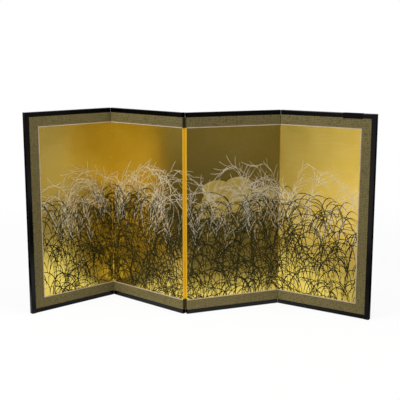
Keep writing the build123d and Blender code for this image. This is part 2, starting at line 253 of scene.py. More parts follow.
# %% [markdown]
# ## Floor and room
#
# Gold is a mirror for the room, so the room is half of the look. The screen stands on white paper in a dark
# studio. Further out, soft pools and fans of warm light are painted on the floor, as a glow that only
# mirrored rays see; no lamp casts them. Near the feet the gold picks up the paper, higher up the dark floor
# beyond it, and where a painted pool or fan of light lies in the mirror's line the gold glows. A real room
# could be built all round instead, but a few painted ovals and wedges of light are quick to move. Light Path
# keeps what the camera itself sees of floor and room white, and the floor still takes the screen's shadow.

# %% Room light
room_dim_left = 0.10
room_fill = 0.40


def make_room():
    world = bpy.data.worlds.new("studio")
    world.use_nodes = True
    tree = world.node_tree
    tree.nodes.clear()
    direction = add(tree, "ShaderNodeTexCoord").outputs["Generated"]
    x, y, _ = split(tree, direction)
    behind = stretch(tree, y, -0.35, 0.55)
    leftward = stretch(tree, x, 0.5, -0.9, 0.0, room_dim_left)
    seen_in_gold = calculate(tree, "MAXIMUM", behind, leftward)
    path = add(tree, "ShaderNodeLightPath").outputs
    mirrored = calculate(tree, "MAXIMUM", path["Is Glossy Ray"], path["Is Transmission Ray"])
    level = calculate(tree, "MULTIPLY", mirrored, seen_in_gold)
    level = calculate(tree, "MAXIMUM", level, path["Is Camera Ray"])
    fill = calculate(tree, "MULTIPLY", path["Is Diffuse Ray"], room_fill)
    strength = calculate(tree, "MAXIMUM", level, fill)
    surface = add(tree, "ShaderNodeBackground", {"Color": (1, 1, 1, 1), "Strength": strength})
    output = add(tree, "ShaderNodeOutputWorld")
    tree.links.new(surface.outputs[0], output.inputs["Surface"])
    return world


bpy.context.scene.world = make_room()
print("room fill:", room_fill)

# %% Painted light on the floor
paper_sheet = ((0.0, -0.10), (1.00, 0.55), 1.0)  # middle, half size, level of light
# pools and fans of warm light painted on the floor, as a glow that only mirrored rays see
painted_light_pools = (  # middle, half size, level of light
    ((-0.90, -0.10), (0.35, 0.35), 1.0),
    ((0.00, -0.60), (0.35, 0.35), 0.5),
    ((2.60, -1.10), (0.90, 0.80), 1.0),
    ((1.20, -1.10), (1.30, 1.00), 0.15),
    ((-8.00, -0.90), (4.00, 2.00), 0.3),
)
painted_light_fans = (  # lowest and highest heading, soft edge, where it begins, level of light
    (-154, -98, 18, 0.75, 1.0),
    (-116, -54, 18, 0.75, 0.7),
    (-32, -12, 6, 1.90, 0.5),
    (-54, -36, 6, 4.00, 0.3),
)
pool_core = 0.4  # share of a pool that has its full light
fan_onset = 1.4  # a fan has its full light this many times as far out as it begins


def patch(tree, place, middle, half_size, level):
    """Soft oval on the floor, for the paper and for each painted pool of light: its level in the middle,
    none outside.
    """
    offset = {0: place, 1: (*middle, 0.0)}
    centred = add(tree, "ShaderNodeVectorMath", offset, operation="SUBTRACT").outputs[0]
    share = {0: centred, 1: (*half_size, 1.0)}
    shrunk = add(tree, "ShaderNodeVectorMath", share, operation="DIVIDE").outputs[0]
    return stretch(tree, length_of(tree, shrunk), pool_core, 1.0, level, 0.0)


def fan(tree, place, low, high, fade, nearest, level):
    """Wedge of painted light on the floor, between two headings in degrees from the screen."""
    x, y, _ = split(tree, place)
    bearing = calculate(tree, "DEGREES", calculate(tree, "ARCTAN2", y, x))
    rising = stretch(tree, bearing, low, low + fade, 0.0, level)
    falling = stretch(tree, bearing, high - fade, high, level, 0.0)
    outward = stretch(tree, length_of(tree, place), nearest, fan_onset * nearest, 0.0, level)
    return calculate(tree, "MINIMUM", outward, calculate(tree, "MINIMUM", rising, falling))


# %% Floor
floor_paleness = 0.90
shadow_reach = (1.3, 3.0)  # between these distances the screen's shadow fades out
# tint of the painted pools and fans of light
painted_light_tone = (1.0, 0.88, 0.86, 1)
dark_floor = (0.12, 0.12, 0.13, 1)
paper_greys = ((0.80, 0.80, 0.80, 1), (0.84, 0.84, 0.84, 1))


def make_floor_material():
    material = bpy.data.materials.new("studio_floor")
    material.use_nodes = True
    tree = material.node_tree
    tree.nodes.clear()
    place = own_place(tree)
    grain = noise(tree, place, 900.0, 2.0)
    on_paper = patch(tree, place, *paper_sheet)
    path = add(tree, "ShaderNodeLightPath").outputs
    pale = calculate(tree, "MAXIMUM", on_paper, path["Is Camera Ray"])
    paper = blend_colours(tree, stretch(tree, grain, 0.3, 0.7), *paper_greys)
    tint = blend_colours(tree, pale, dark_floor, paper)
    lit = add(tree, "ShaderNodeBsdfDiffuse", {"Color": tint})
    # the pools and fans add painted light: a glow the floor gives off only in mirrored rays
    level = pale
    for pool in painted_light_pools:
        level = calculate(tree, "MAXIMUM", level, patch(tree, place, *pool))
    for wedge in painted_light_fans:
        level = calculate(tree, "MAXIMUM", level, fan(tree, place, *wedge))
    tone = blend_colours(tree, pale, painted_light_tone, (1, 1, 1, 1))
    backdrop_and_painted_glow = add(tree, "ShaderNodeEmission", {"Color": tone, "Strength": level})
    seen = calculate(tree, "MAXIMUM", path["Is Camera Ray"], path["Is Glossy Ray"])
    seen = calculate(tree, "MAXIMUM", seen, path["Is Transmission Ray"])
    far_off = stretch(tree, length_of(tree, place), *shadow_reach, floor_paleness, 1.0)
    share = calculate(tree, "MULTIPLY", seen, far_off)
    floor = add(tree, "ShaderNodeMixShader", {0: share, 1: lit.outputs[0], 2: backdrop_and_painted_glow.outputs[0]})
    output = add(tree, "ShaderNodeOutputMaterial")
    tree.links.new(floor.outputs[0], output.inputs["Surface"])
    return material


floor_side = 24
bpy.ops.mesh.primitive_plane_add(size=floor_side)
floor = bpy.context.object
floor.name = "studio_floor"
floor.data.materials.append(make_floor_material())
print("floor laid, pools and fans of light:", len(painted_light_pools) + len(painted_light_fans))

# %% [markdown]
# ## Three soft lamps
#
# One large lamp stands at the left, so the panels that face left are brighter
# than their neighbours. A weaker one on the right lifts the others, and a wide
# lamp overhead lights the floor and draws a soft line along the top rails.

# %% Hang the lamps
screen_middle = Vector((0, 0, 0.45))
lamps = (  # name, place, width, height, watts
    ("lamp_left", (-2.6, -2.6, 2.3), 2.0, 1.6, 88),
    ("lamp_right", (3.3, -1.4, 2.2), 1.6, 1.4, 26),
    ("lamp_above", (0, -0.4, 3.2), 2.6, 1.6, 60),
)


def hang_lamp(name, place, width, height, watts):
    data = bpy.data.lights.new(name, "AREA")
    data.shape = "RECTANGLE"
    data.size = width
    data.size_y = height
    data.energy = watts
    lamp = bpy.data.objects.new(name, data)
    lamp.location = place
    lamp.rotation_euler = (screen_middle - Vector(place)).to_track_quat("-Z", "Y").to_euler()
    bpy.context.scene.collection.objects.link(lamp)


for lamp in lamps:
    hang_lamp(*lamp)
print(len(lamps), "lamps")

# %% [markdown]
# ## Black lacquer
#
# The frame is wood under several coats of black lacquer, polished to a soft
# shine. The shader's colour is close to black and its shine is held low, so the
# frame stays the darkest thing in sight. Fine dust and faint rubbing marks vary
# colour and shine, and a very low wave keeps the reflection from being ruler
# straight, as hand-brushed lacquer is.

# %% Start a material, and give it to nodes
def new_material(name, roughness, metallic=0.0):
    """Material with a principled shader, whose constants sit on its sockets."""
    material = bpy.data.materials.new(name)
    material.use_nodes = True
    tree = material.node_tree
    shader = tree.nodes["Principled BSDF"]
    shader.inputs["Roughness"].default_value = roughness
    shader.inputs["Metallic"].default_value = metallic
    return material, tree, shader


def raise_surface(tree, shader, height, distance, strength=1.0):
    bump = add(tree, "ShaderNodeBump", {"Height": height, "Distance": distance, "Strength": strength})
    tree.links.new(bump.outputs[0], shader.inputs["Normal"])


def dress(names, material):
    """Gives carried-over nodes their finish; their meshes stay as they are."""
    for name in names:
        slots = nodes[name].data.materials
        slots.clear()
        slots.append(material)
    print(f"{material.name}: {len(names)} nodes")


# %% Lacquer
lacquer_black = (0.0004, 0.0004, 0.0005, 1)
rubbed_black = (0.0010, 0.0009, 0.0009, 1)
dust_grey = (0.0022, 0.0020, 0.0019, 1)


def make_lacquer():
    material, tree, shader = new_material("polished_lacquer", 0.3)
    place = own_place(tree)
    rubbing = noise(tree, place, 14.0, 6.0)
    dust = noise(tree, place, 420.0, 3.0)
    brushing = noise(tree, place, 60.0, 2.0)
    lacquer = blend_colours(tree, stretch(tree, rubbing, 0.45, 0.75), lacquer_black, rubbed_black)
    dusty = blend_colours(tree, stretch(tree, dust, 0.62, 0.72), lacquer, dust_grey)
    tree.links.new(dusty, shader.inputs["Base Color"])
    tree.links.new(stretch(tree, rubbing, 0.3, 0.7, 0.10, 0.18), shader.inputs["Roughness"])
    shader.inputs["Specular IOR Level"].default_value = 0.22
    raise_surface(tree, shader, brushing, 0.0002, 0.4)
    return material


frame_pieces = [f"{place}_rail_{number}" for place in ("top", "bottom") for number in panels]
frame_pieces += ["outer_stile_left", "outer_stile_right"]
dress(frame_pieces, make_lacquer())

# %% [markdown]
# ## Silk brocade
#
# The wide border is an olive silk brocade. Its ground is a fine twill, and a
# small lozenge figure floats on it in a lighter thread. Handling has left dark
# blotches, and age a browner cast. The pattern runs square to each panel, so
# every panel has its own Mapping node that turns the coordinates to its heading,
# and the figure is a product of two waves. These sizes are in millimetres.

# %% Coordinates that lie square on one panel
def square_on(tree, number):
    """Object coordinates turned so that X runs along the panel, in millimetres."""
    given = {"Vector": own_place(tree), "Rotation": (0, 0, -heading(number))}
    turned = add(tree, "ShaderNodeMapping", given, vector_type="POINT").outputs[0]
    return add(tree, "ShaderNodeVectorMath", {0: turned, "Scale": 1 / MM}, operation="SCALE").outputs[0]


def wave(tree, value, length):
    """Sine of a position, one turn for each length."""
    turns = calculate(tree, "MULTIPLY", value, 2 * math.pi / length)
    return calculate(tree, "SINE", turns)


# %% Brocade border
figure_repeat = 14.0
twill_rib = 0.8
silk_greens = ((0.080, 0.064, 0.019, 1), (0.165, 0.132, 0.042, 1))
figure_thread = (0.26, 0.215, 0.083, 1)
handled_silk = (0.062, 0.050, 0.019, 1)
aged_silk = (0.15, 0.115, 0.052, 1)


def make_brocade(number):
    material, tree, shader = new_material(f"olive_brocade_{number}", 0.62)
    square = square_on(tree, number)
    x, _, z = split(tree, square)
    rising = calculate(tree, "ADD", x, z)
    falling = calculate(tree, "SUBTRACT", x, z)
    waves = [wave(tree, direction, figure_repeat) for direction in (rising, falling)]
    lozenge = calculate(tree, "MULTIPLY", *waves)
    twill = wave(tree, rising, twill_rib)
    slub = noise(tree, square, 0.45, 4.0)
    shade = noise(tree, square, 0.012, 2.0)
    mottle = noise(tree, square, 0.14, 3.0)
    ragged = calculate(tree, "ADD", lozenge, calculate(tree, "SUBTRACT", slub, 0.5))
    figure = stretch(tree, ragged, -0.1, 0.35)
    ground = blend_colours(tree, stretch(tree, slub, 0.3, 0.7), *silk_greens)
    figured = blend_colours(tree, figure, ground, figure_thread)
    mottled = blend_colours(tree, stretch(tree, mottle, 0.48, 0.66, 0.0, 0.70), figured, handled_silk)
    aged = blend_colours(tree, stretch(tree, shade, 0.35, 0.65, 0.0, 0.30), mottled, aged_silk)
    tree.links.new(aged, shader.inputs["Base Color"])
    relief = calculate(tree, "MULTIPLY_ADD", figure, 0.5, calculate(tree, "MULTIPLY", twill, 0.25))
    raise_surface(tree, shader, relief, 0.00015, 0.8)
    shader.inputs["Specular IOR Level"].default_value = 0.2
    return material


for number in panels:
    dress([f"brocade_border_{number}"], make_brocade(number))

# %% [markdown]
# ## Silk fillet
#
# A narrow pale silk strip separates brocade from picture. It is a plain weave
# folded over a card strip. It shows a fine rib, a little sheen, and a dye that
# has faded unevenly.

# %% Fillet
fillet_rib = 1.1
pale_silks = ((0.50, 0.37, 0.23, 1), (0.62, 0.49, 0.33, 1))
rib_shadow = (0.36, 0.27, 0.16, 1)


def make_fillet(number):
    material, tree, shader = new_material(f"pale_silk_{number}", 0.5)
    square = square_on(tree, number)
    x, _, z = split(tree, square)
    rib = calculate(tree, "MULTIPLY", wave(tree, x, fillet_rib), wave(tree, z, fillet_rib))
    fade = noise(tree, square, 0.03, 3.0)
    silk = blend_colours(tree, stretch(tree, fade, 0.35, 0.65), *pale_silks)
    threads = blend_colours(tree, stretch(tree, rib, -0.6, 0.6, 0.0, 0.2), silk, rib_shadow)
    tree.links.new(threads, shader.inputs["Base Color"])
    raise_surface(tree, shader, rib, 0.0001, 0.6)
    shader.inputs["Sheen Weight"].default_value = 0.3
    return material


for number in panels:
    dress([f"silk_fillet_{number}"], make_fillet(number))

# %% [markdown]
# ## Gold ground
#
# The picture is painted on gold. Beaten leaf is laid in squares of about a
# hand's width, and where two squares overlap a faint line stays. Burnishing from
# side to side leaves faint level streaks. The leaf is real metal, so the shader
# is metallic with a soft, slightly cloudy polish. It mirrors the floor and the
# neighbouring panel, blurred, and twice reflected gold light turns deeper and
# redder near the folds.

# %% Gold paper
leaf_side = 109.0
warm_golds = ((0.86, 0.660, 0.108, 1), (0.94, 0.735, 0.156, 1))
deeper_leaf = (0.80, 0.60, 0.11, 1)
double_leaf = (0.98, 0.79, 0.28, 1)
worn_fleck = (0.66, 0.47, 0.10, 1)
burnished = (0.99, 0.84, 0.34, 1)


def make_gold(name, number):
    material, tree, shader = new_material(name, 0.36, metallic=1.0)
    square = square_on(tree, number)
    x, _, z = split(tree, square)
    cloud = noise(tree, square, 0.008, 4.0)
    fleck = noise(tree, square, 0.35, 5.0)
    streak = noise(tree, resize(tree, square, (0.1, 1.0, 1.0)), 0.1, 4.0)
    column = calculate(tree, "FLOOR", calculate(tree, "DIVIDE", x, leaf_side))
    row = calculate(tree, "FLOOR", calculate(tree, "DIVIDE", z, leaf_side))
    cell = add(tree, "ShaderNodeCombineXYZ", {"X": column, "Y": row, "Z": float(number)}).outputs[0]
    piece = add(tree, "ShaderNodeTexWhiteNoise", {"Vector": cell}).outputs["Value"]
    across = calculate(tree, "PINGPONG", x, leaf_side / 2)
    upward = calculate(tree, "PINGPONG", z, leaf_side / 2)
    overlap = stretch(tree, calculate(tree, "MINIMUM", across, upward), 0.0, 1.4, 1.0, 0.0)
    warm = blend_colours(tree, stretch(tree, cloud, 0.35, 0.65), *warm_golds)
    leafed = blend_colours(tree, calculate(tree, "MULTIPLY", piece, 0.3), warm, deeper_leaf)
    joined = blend_colours(tree, calculate(tree, "MULTIPLY", overlap, 0.22), leafed, double_leaf)
    flecked = blend_colours(tree, stretch(tree, fleck, 0.55, 0.8, 0.0, 0.3), joined, worn_fleck)
    rubbed = blend_colours(tree, stretch(tree, streak, 0.5, 0.7, 0.0, 0.17), flecked, burnished)
    tree.links.new(rubbed, shader.inputs["Base Color"])
    polish = calculate(tree, "MULTIPLY_ADD", piece, 0.02, stretch(tree, cloud, 0.3, 0.7, 0.21, 0.24))
    tree.links.new(polish, shader.inputs["Roughness"])
    relief = calculate(tree, "MULTIPLY_ADD", fleck, 0.4, overlap)
    raise_surface(tree, shader, relief, 0.00006, 0.35)
    return material


for number in panels:
    dress([f"picture_sheet_{number}"], make_gold(f"gold_leaf_{number}", number))

# %% [markdown]
# ## Paper, wood, iron and tape
#
# The back is covered with dark, dyed mulberry paper, pasted on in sheets, with
# long fibres and a small printed lozenge. Inside are the cedar lattice and the
# layers of underlay paper. Nails are blackened iron, the band is woven tape.
# Fibres and wood grain are one noise drawn out along an axis.

# %% Backing and underlay paper
lozenge_repeat = 60.0
pasted_sheet = 300.0
dyed_papers = ((0.018, 0.026, 0.021, 1), (0.045, 0.058, 0.045, 1))
print_ochre = (0.13, 0.11, 0.055, 1)
seam_shadow = (0.012, 0.016, 0.013, 1)
mulberry_papers = ((0.52, 0.43, 0.28, 1), (0.68, 0.59, 0.42, 1))


def make_backing(number):
    material, tree, shader = new_material(f"dyed_paper_{number}", 0.78)
    square = square_on(tree, number)
    x, _, z = split(tree, square)
    fibre = noise(tree, resize(tree, square, (0.05, 1.0, 0.4)), 1.0, 6.0)
    slopes = [calculate(tree, "MULTIPLY_ADD", x, slope, z) for slope in (2.0, -2.0)]
    lozenge = calculate(tree, "MULTIPLY", *[wave(tree, slope, lozenge_repeat) for slope in slopes])
    printed = stretch(tree, lozenge, 0.70, 0.80, 0.0, 0.55)
    seam = stretch(tree, calculate(tree, "PINGPONG", z, pasted_sheet / 2), 0.0, 1.2, 1.0, 0.0)
    dye = blend_colours(tree, stretch(tree, fibre, 0.35, 0.7), *dyed_papers)
    marked = blend_colours(tree, printed, dye, print_ochre)
    seamed = blend_colours(tree, calculate(tree, "MULTIPLY", seam, 0.4), marked, seam_shadow)
    tree.links.new(seamed, shader.inputs["Base Color"])
    raise_surface(tree, shader, fibre, 0.0002, 0.5)
    return material


def make_plain_paper():
    material, tree, shader = new_material("mulberry_paper", 0.85)
    given = {"Vector": own_place(tree), "Scale": 180.0, "Detail": 6.0, "Distortion": 1.5}
    fibre = add(tree, "ShaderNodeTexNoise", given).outputs["Fac"]
    tree.links.new(blend_colours(tree, fibre, *mulberry_papers), shader.inputs["Base Color"])
    raise_surface(tree, shader, fibre, 0.0001, 0.5)
    return material


for number in panels:
    dress([f"backing_sheet_{number}"], make_backing(number))
dress([f"underlays_{number}" for number in panels], make_plain_paper())

# %% Cedar core
cedar_browns = ((0.30, 0.16, 0.075, 1), (0.52, 0.33, 0.18, 1))


def make_cedar():
    material, tree, shader = new_material("planed_cedar", 0.6)
    grain = noise(tree, resize(tree, own_place(tree), (90.0, 90.0, 6.0)), 1.0, 5.0)
    wood = blend_colours(tree, stretch(tree, grain, 0.3, 0.7), *cedar_browns)
    tree.links.new(wood, shader.inputs["Base Color"])
    raise_surface(tree, shader, grain, 0.0002, 0.4)
    return material


core_kinds = ("core_stiles", "core_rails", "lattice_uprights", "lattice_crossbars")
dress([f"{kind}_{number}" for kind in core_kinds for number in panels], make_cedar())

# %% Iron nails and the woven band
iron_blacks = ((0.02, 0.019, 0.02, 1), (0.07, 0.05, 0.038, 1))
tape_threads = ((0.0020, 0.0022, 0.0032, 1), (0.0060, 0.0062, 0.0085, 1))
tape_wear = (0.018, 0.017, 0.019, 1)
tape_weave = 1.4


def make_iron():
    material, tree, shader = new_material("blackened_iron", 0.55, metallic=0.85)
    scale = noise(tree, own_place(tree), 700.0, 4.0)
    iron = blend_colours(tree, stretch(tree, scale, 0.4, 0.7), *iron_blacks)
    tree.links.new(iron, shader.inputs["Base Color"])
    raise_surface(tree, shader, scale, 0.0001, 0.6)
    return material


def make_tape(number):
    material, tree, shader = new_material("woven_tape", 0.9)
    shader.inputs["Specular IOR Level"].default_value = 0.08
    square = square_on(tree, number)
    x, y, z = split(tree, square)
    down = calculate(tree, "ADD", y, z)
    weave = calculate(tree, "MULTIPLY", wave(tree, x, tape_weave), wave(tree, down, tape_weave))
    wear = noise(tree, square, 0.15, 4.0)
    dyed = blend_colours(tree, stretch(tree, weave, -0.5, 0.5), *tape_threads)
    worn = blend_colours(tree, stretch(tree, wear, 0.55, 0.75, 0.0, 0.5), dyed, tape_wear)
    tree.links.new(worn, shader.inputs["Base Color"])
    raise_surface(tree, shader, weave, 0.00015, 0.8)
    return material


dress([f"frame_nails_{number}" for number in panels], make_iron())
dress(["rail_band"], make_tape(panels[-1]))

# %% [markdown]
# ## Paper in the folds
#
# Each hinge leaf wraps from the front of one panel to the back of the next. In the height of the picture it
# carries the same gold, and in the height of the brocade it is covered with a dark strip of the border silk.
# The middle fold shows the outer side of its leaves, and there the gold is painted deeper in colour and made
# less of a mirror: a painted reflection of the gold light thrown to and fro in the groove. The other two
# folds carry a little of it. One material does it all: the height decides between gold and silk, at the
# level of the fillet.

# %% Hinge paper
# the deeper, duller gold is painted reflection of gold light thrown to and fro in the middle fold's groove
groove_reflection_gold = (0.97, 0.66, 0.03, 1)
dark_silk = (0.07, 0.058, 0.022, 1)
silk_edge = 0.5 * MM
groove_reflection_dulling = 0.85


def make_hinge_paper(name, number, groove_reflection):
    """Gold leaf with a share of painted reflection blended in, and dark silk beside the brocade."""
    material = make_gold(name, number)
    tree = material.node_tree
    shader = tree.nodes["Principled BSDF"]
    height = split(tree, own_place(tree))["Z"]
    low, high = openings[number]["low"], openings[number]["high"]
    above = stretch(tree, height, high - silk_edge, high + silk_edge)
    below = stretch(tree, height, low - silk_edge, low + silk_edge, 1.0, 0.0)
    covered = calculate(tree, "MAXIMUM", above, below)
    leafed = shader.inputs["Base Color"].links[0].from_socket
    reflection_tinted = blend_colours(tree, groove_reflection, leafed, groove_reflection_gold)
    colour = blend_colours(tree, covered, reflection_tinted, dark_silk)
    tree.links.new(colour, shader.inputs["Base Color"])
    bright = 1.0 - groove_reflection_dulling * groove_reflection
    tree.links.new(stretch(tree, covered, 0.0, 1.0, bright, 0.0), shader.inputs["Metallic"])
    polish = shader.inputs["Roughness"].links[0].from_socket
    tree.links.new(calculate(tree, "MAXIMUM", polish, covered), shader.inputs["Roughness"])
    shader.inputs["Specular IOR Level"].default_value = 0.15
    return material


fold_pairs = ((1, 2), (2, 3), (3, 4))
# share of painted reflection on each fold's leaves
groove_reflection_share = {1: 0.1, 2: 0.7, 3: 0.1}  # by the panel left of the fold
for left, right in fold_pairs:
    for number in (left, right):
        leaves = f"hinge_leaves_{left}_{right}_on_{number}"
        paper = make_hinge_paper(f"fold_paper_{left}_{right}_on_{number}", number, groove_reflection_share[left])
        dress([leaves], paper)

# %% [markdown]
# ## The crease itself
#
# Between the two leaves of a fold lies the crease, a strip of the same paper, here made in the bend it has
# at rest. It runs in an arc round the fold's axis, a hair inside the ends of the leaves and of the rails.
# Between the rails a hairline of light is left beside it, and a short slit above and below it.

# %% Shape of a crease strip
crease_radius = 0.33 * MM  # inside the ends of the leaves
rail_radius = 0.43 * MM  # inside the corners of the rails
crease_thickness = 0.06 * MM
crease_steps = 14
crease_margin = 1.5 * MM  # short of the top and the floor
crease_lap = math.radians(55)  # how far it reaches round behind the leaf ends


def towards_leaf(axis_place, name, number):
    """Direction from a fold's axis towards the leaf ends of one panel."""
    low, high = measured(name, number)
    depth = (axes[number].inverted() @ axis_place).y
    inward = 1 if (low.y + high.y) / 2 > depth else -1
    return inward * axes[number].col[1].to_3d()


def crease_outline(left):
    """Radius and height round the strip's cut end, wider where it passes the rails."""
    floor_level = joined_box[0][2] + crease_margin
    rail_top = measured(f"bottom_rail_{left}", left)[1].z
    rail_foot = measured(f"top_rail_{left}", left)[0].z
    top_level = joined_box[1][2] - crease_margin
    outer = [
        (rail_radius, floor_level), (rail_radius, rail_top),
        (crease_radius, rail_top), (crease_radius, rail_foot),
        (rail_radius, rail_foot), (rail_radius, top_level),
    ]
    return outer + [(radius - crease_thickness, level) for radius, level in reversed(outer)]


def sweep_round(axis_place, outline, start_angle, sweep, name):
    """Mesh of an outline swept round an upright axis, closed at both ends."""
    strip = bmesh.new()
    columns = []
    for step in range(crease_steps + 1):
        angle = start_angle + sweep * step / crease_steps
        outward = Vector((math.cos(angle), math.sin(angle), 0))
        places = [axis_place + outward * radius + Vector((0, 0, level)) for radius, level in outline]
        columns.append([strip.verts.new(place) for place in places])
    for before, after in zip(columns, columns[1:]):
        for corner in range(len(outline)):
            following = (corner + 1) % len(outline)
            strip.faces.new((before[corner], before[following], after[following], after[corner]))
    strip.faces.new(columns[0])
    strip.faces.new(columns[-1])
    bmesh.ops.recalc_face_normals(strip, faces=strip.faces)
    mesh = bpy.data.meshes.new(name)
    strip.to_mesh(mesh)
    strip.free()
    return mesh


# %% Lay a crease in each fold
def make_crease(left, right):
    axis_place = Vector(joints[f"fold_{left}_{right}"]["pos_m"])
    leaves = [f"hinge_leaves_{left}_{right}_on_{number}" for number in (left, right)]
    sides = [towards_leaf(axis_place, name, number) for name, number in zip(leaves, (left, right))]
    first, last = [math.atan2(side.y, side.x) for side in sides]
    turn = (last - first + math.pi) % (2 * math.pi) - math.pi
    lap = math.copysign(crease_lap, turn)
    name = f"crease_{left}_{right}"
    mesh = sweep_round(axis_place, crease_outline(left), first - lap, turn + 2 * lap, name)
    mesh.materials.append(nodes[leaves[0]].data.materials[0])
    piece = bpy.data.objects.new(name, mesh)
    bpy.context.scene.collection.objects.link(piece)
    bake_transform(piece)
    print(f"{piece.name}: bends through {abs(math.degrees(turn)):.0f} degrees at rest")


for left, right in fold_pairs:
    make_crease(left, right)

# %% [markdown]
# ## A painted garden
#
# The lower half of the gold carries a garden of bush clover, a common autumn
# motif: long dark branches that arch over like a fountain, small leaves, and pale
# sprigs of blossom near their tips. Painters lay it out with the panels flat, so
# it is grown here in one flat piece and cut into four afterwards. Drawing some
# hundred branches by hand would be slow and stiff. Geometry Nodes grow them all
# by one rule: shoots rise from clumps, lean to either side and bow over. The
# clumps can be gathered towards the middle, and the tops follow a slow wave.

# %% Start a node tree with named inputs
def new_tree(name, inputs):
    tree = bpy.data.node_groups.new(name, "GeometryNodeTree")
    for label, (kind, value) in inputs.items():
        socket = tree.interface.new_socket(label, in_out="INPUT", socket_type=f"NodeSocket{kind}")
        if value is not None:
            socket.default_value = value
    tree.interface.new_socket("Geometry", in_out="OUTPUT", socket_type="NodeSocketGeometry")
    return tree, tree.nodes.new("NodeGroupInput").outputs


def close_tree(tree, geometry):
    output = tree.nodes.new("NodeGroupOutput")
    tree.links.new(geometry, output.inputs["Geometry"])


def random_between(tree, low, high, seed, step, each=None):
    """A random number for each element, or for each value of `each`.

    The step is added to the seed, so that no two draws of a tree are the same.
    """
    made = add(tree, "FunctionNodeRandomValue", data_type="FLOAT")
    for number, value in ((2, low), (3, high)):  # as the node numbers its plain numbers
        feed(tree, made.inputs[number], value)
    if each is not None:
        tree.links.new(each, made.inputs["ID"])
    tree.links.new(calculate(tree, "ADD", seed, float(step)), made.inputs["Seed"])
    return made.outputs[1]


def remember(tree, geometry, label, value):
    """Stores a value on the points of a geometry, to be read further on."""
    given = {"Geometry": geometry, "Name": label, "Value": value}
    return add(tree, "GeometryNodeStoreNamedAttribute", given, domain="POINT").outputs[0]


def recall(tree, label):
    return add(tree, "GeometryNodeInputNamedAttribute", {"Name": label}).outputs["Attribute"]


def move_points(tree, geometry, x=0.0, y=0.0, z=0.0, absolute=False):
    place = add(tree, "ShaderNodeCombineXYZ", {"X": x, "Y": y, "Z": z}).outputs[0]
    return add(
        tree, "GeometryNodeSetPosition",
        {"Geometry": geometry, "Position" if absolute else "Offset": place},
    ).outputs[0]


# %% What a gardener can choose
branch_inputs = {
    "Clumps": ("Int", 12),
    "Shoots": ("Int", 20),
    "Span": ("Float", 1.8),
    "Gather": ("Float", 0.0),
    "Ground": ("Float", 0.05),
    "Footing": ("Float", 0.0),
    "Lowest": ("Float", 0.2),
    "Highest": ("Float", 0.5),
    "Shortest": ("Float", 0.3),
    "Swell": ("Float", 0.9),
    "Swell start": ("Float", 0.0),
    "Lean": ("Float", 0.5),
    "Bow": ("Float", 0.7),
    "Seed": ("Int", 1),
}
print("branch rule:", len(branch_inputs), "inputs")


# %% Plant the roots
def plant_roots(tree, given):
    """One point for each shoot, which remembers how that shoot is to grow."""
    seed = given["Seed"]
    count = calculate(tree, "MULTIPLY", given["Clumps"], given["Shoots"])
    roots = add(tree, "GeometryNodePoints", {"Count": count}).outputs[0]
    index = add(tree, "GeometryNodeInputIndex").outputs[0]
    clump = calculate(tree, "FLOOR", calculate(tree, "DIVIDE", index, given["Shoots"]))
    spot = calculate(tree, "ADD", clump, random_between(tree, 0.15, 0.85, seed, 1, each=clump))
    spot = calculate(tree, "ADD", spot, random_between(tree, -0.28, 0.28, seed, 2))
    share = calculate(tree, "DIVIDE", spot, given["Clumps"])
    # a sine pulls the roots of both halves towards the middle
    pull = calculate(tree, "SINE", calculate(tree, "MULTIPLY", share, 2 * math.pi))
    pull = calculate(tree, "MULTIPLY", pull, calculate(tree, "DIVIDE", given["Gather"], 2 * math.pi))
    share = calculate(tree, "ADD", share, pull)
    roots = remember(tree, roots, "root", calculate(tree, "MULTIPLY", share, given["Span"]))
    # the height follows another sine along the painting
    turn = calculate(tree, "DIVIDE", recall(tree, "root"), given["Swell"])
    turn = calculate(tree, "ADD", turn, given["Swell start"])
    crest = calculate(tree, "SINE", calculate(tree, "MULTIPLY", turn, 2 * math.pi))
    skyline = stretch(tree, crest, -1.0, 1.0, given["Lowest"], given["Highest"])
    roots = remember(tree, roots, "rank", random_between(tree, given["Shortest"], 1.0, seed, 3))
    roots = remember(tree, roots, "reach", calculate(tree, "MULTIPLY", skyline, recall(tree, "rank")))
    # each shoot leans left or right, and bows, by its own amount
    way = calculate(tree, "SIGN", random_between(tree, -1.0, 1.0, seed, 4))
    slant = calculate(tree, "MULTIPLY", random_between(tree, 0.4, 1.0, seed, 8), given["Lean"])
    sideways = calculate(tree, "MULTIPLY", way, slant)
    roots = remember(tree, roots, "lean", calculate(tree, "MULTIPLY", sideways, recall(tree, "reach")))
    droop = calculate(tree, "MULTIPLY", random_between(tree, 0.35, 1.0, seed, 5), given["Bow"])
    roots = remember(tree, roots, "bow", droop)
    roots = remember(tree, roots, "layer", random_between(tree, 0.0, 1.0, seed, 6))
    foot = calculate(tree, "MULTIPLY", random_between(tree, 0.0, 1.0, seed, 7), given["Footing"])
    return remember(tree, roots, "foot", calculate(tree, "ADD", given["Ground"], foot))


# %% Bend the shoots
branch_points = 16


